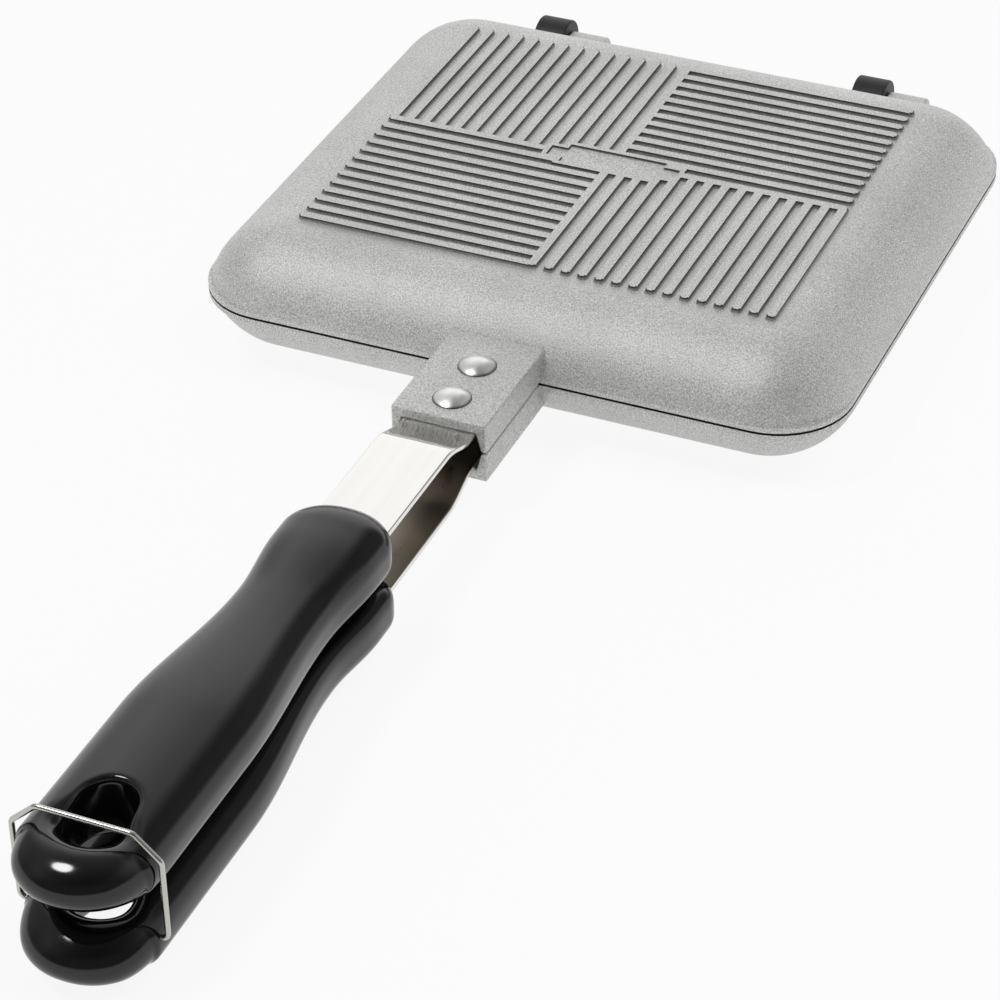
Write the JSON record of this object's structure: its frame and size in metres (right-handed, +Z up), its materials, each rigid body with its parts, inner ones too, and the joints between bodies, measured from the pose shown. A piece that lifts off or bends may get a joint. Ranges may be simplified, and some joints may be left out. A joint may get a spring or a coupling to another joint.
{
  "type": "hinged sandwich pie iron",
  "caption": "Hinged pie iron with two ribbed cast pans, riveted strap handles with black grips, and a wire bail that holds them shut.",
  "frame": {"origin": "Middle of the lower pan's base, at the top of its ribs", "axes": "+Y points from the grips to the hinge, +X is to the right seen from the grips, +Z is up"},
  "size_m": [0.1592, 0.3602, 0.0342],
  "materials": {
    "pan_paint": "satin silver heat-proof coating on cast aluminium",
    "pin_steel": "plain steel pin",
    "strap_steel": "polished stainless strip",
    "rivet_metal": "bright aluminium",
    "grip_plastic": "glossy black phenolic",
    "screw_steel": "plated steel screw",
    "wire_steel": "bright spring wire"
  },
  "bodies": {
    "lower_half": {"lower_plate": "pan_paint", "lower_strap": "strap_steel", "lower_rivets": "rivet_metal", "lower_grip": "grip_plastic", "lower_grip_screws": "screw_steel"},
    "upper_half": {"upper_plate": "pan_paint", "upper_strap": "strap_steel", "upper_rivets": "rivet_metal", "upper_grip": "grip_plastic", "upper_grip_screws": "screw_steel", "left_hinge_pin": "pin_steel", "right_hinge_pin": "pin_steel"},
    "bail": {"wire_bail": "wire_steel"}
  },
  "joints": [
    {"name": "lid_hinge", "type": "hinge", "parent": "lower_half", "child": "upper_half", "pos_m": [0, 0.08, 0.0163], "axis": [-1, 0, 0], "range_deg": [0, 180]},
    {"name": "bail_hinge", "type": "hinge", "parent": "lower_half", "child": "bail", "pos_m": [0, -0.26, 0.0095], "axis": [1, 0, 0], "range_deg": [0, 244]}
  ]
}
